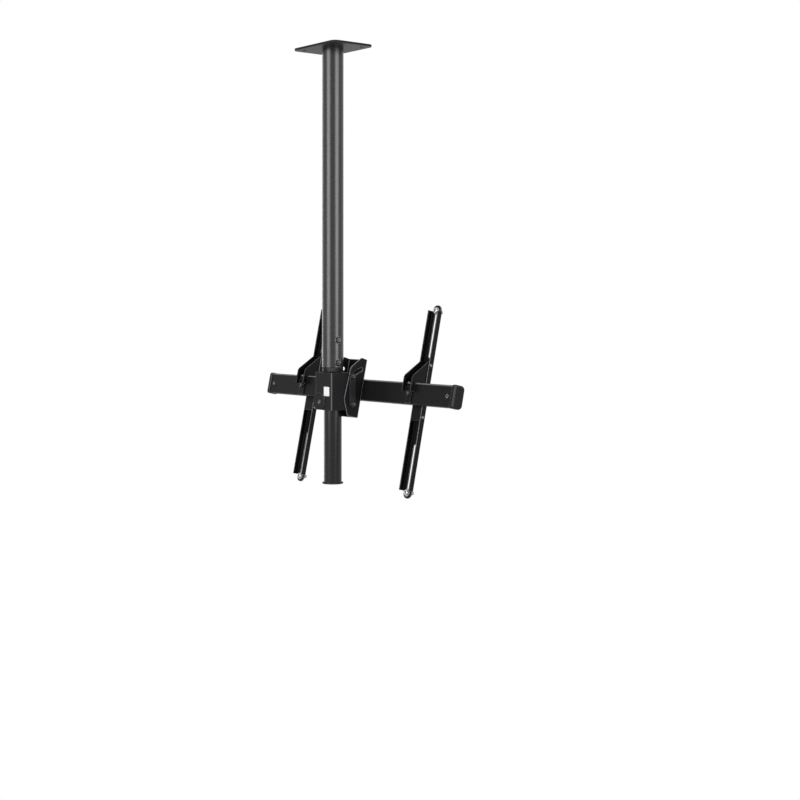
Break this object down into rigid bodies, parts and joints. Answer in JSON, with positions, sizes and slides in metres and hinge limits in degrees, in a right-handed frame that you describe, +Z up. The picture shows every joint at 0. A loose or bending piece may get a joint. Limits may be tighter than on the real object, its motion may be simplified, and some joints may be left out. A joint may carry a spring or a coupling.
{
  "type": "telescopic ceiling pole mount for a screen",
  "caption": "Telescopic ceiling pole with a clamped swivel head, a slotted tilt bracket and a cross rail whose hooked, slotted arms carry a flat screen.",
  "frame": {"origin": "centre of the ceiling plate's top face", "axes": "+Z up towards the ceiling along the pole, +X along the cross rail, +Y from the pole to the screen"},
  "size_m": [0.693, 0.2077, 0.9961],
  "materials": {
    "powder_coat": "satin black powder coat on steel",
    "cast_coat": "grained black coat on a die casting",
    "black_plastic": "moulded black plastic",
    "zinc": "bright zinc plate",
    "black_screw": "black oxide steel"
  },
  "bodies": {
    "fixed_pole": {"ceiling_plate": "powder_coat", "pole_screws": "black_screw", "spigot_nuts": "zinc", "outer_pole": "powder_coat", "lower_guide": "black_plastic", "clamp_inserts": "black_screw", "clamp_screws": "black_screw"},
    "drop_pole": {"inner_pole": "powder_coat", "upper_guide": "black_plastic", "guide_rivets": "zinc", "pole_end_cap": "black_plastic", "support_collar": "zinc", "collar_screws": "black_screw"},
    "swivel_head": {"swivel_housing": "cast_coat", "upper_swivel_bush": "black_plastic", "lower_swivel_bush": "black_plastic", "swivel_lock_screw": "black_screw", "brake_shoe": "black_plastic", "tilt_screws": "black_screw", "tilt_nuts": "zinc", "left_tilt_strap": "powder_coat", "right_tilt_strap": "powder_coat"},
    "tilt_frame": {"tilt_bracket": "powder_coat", "cross_rail": "powder_coat", "rail_inserts": "zinc", "rail_bolts": "black_screw", "rail_cap_screws": "black_screw", "left_rail_cap": "black_plastic", "right_rail_cap": "black_plastic"},
    "left_arm_set": {"left_arm": "powder_coat", "left_hook_bracket": "powder_coat", "left_hook_lock_screw": "black_screw", "left_hook_rivets": "zinc", "left_screen_screws": "zinc", "left_screen_washers": "zinc"},
    "right_arm_set": {"right_arm": "powder_coat", "right_hook_bracket": "powder_coat", "right_hook_lock_screw": "black_screw", "right_hook_rivets": "zinc", "right_screen_screws": "zinc", "right_screen_washers": "zinc"}
  },
  "joints": [
    {"name": "pole_extend", "type": "slide", "parent": "fixed_pole", "child": "drop_pole", "axis": [0, 0, 1], "range_m": [-0.28, 0]},
    {"name": "head_swivel", "type": "hinge", "parent": "drop_pole", "child": "swivel_head", "pos_m": [0, 0, -0.77075], "axis": [0, 0, 1], "continuous": true},
    {"name": "head_tilt", "type": "hinge", "parent": "swivel_head", "child": "tilt_frame", "pos_m": [0, 0.0735, -0.7896], "axis": [1, 0, 0], "range_deg": [0, 25]},
    {"name": "left_arm_slide", "type": "slide", "parent": "tilt_frame", "child": "left_arm_set", "axis": [1, 0, 0], "range_m": [-0.1, 0.1]},
    {"name": "right_arm_slide", "type": "slide", "parent": "tilt_frame", "child": "right_arm_set", "axis": [1, 0, 0], "range_m": [-0.1, 0.1]}
  ]
}
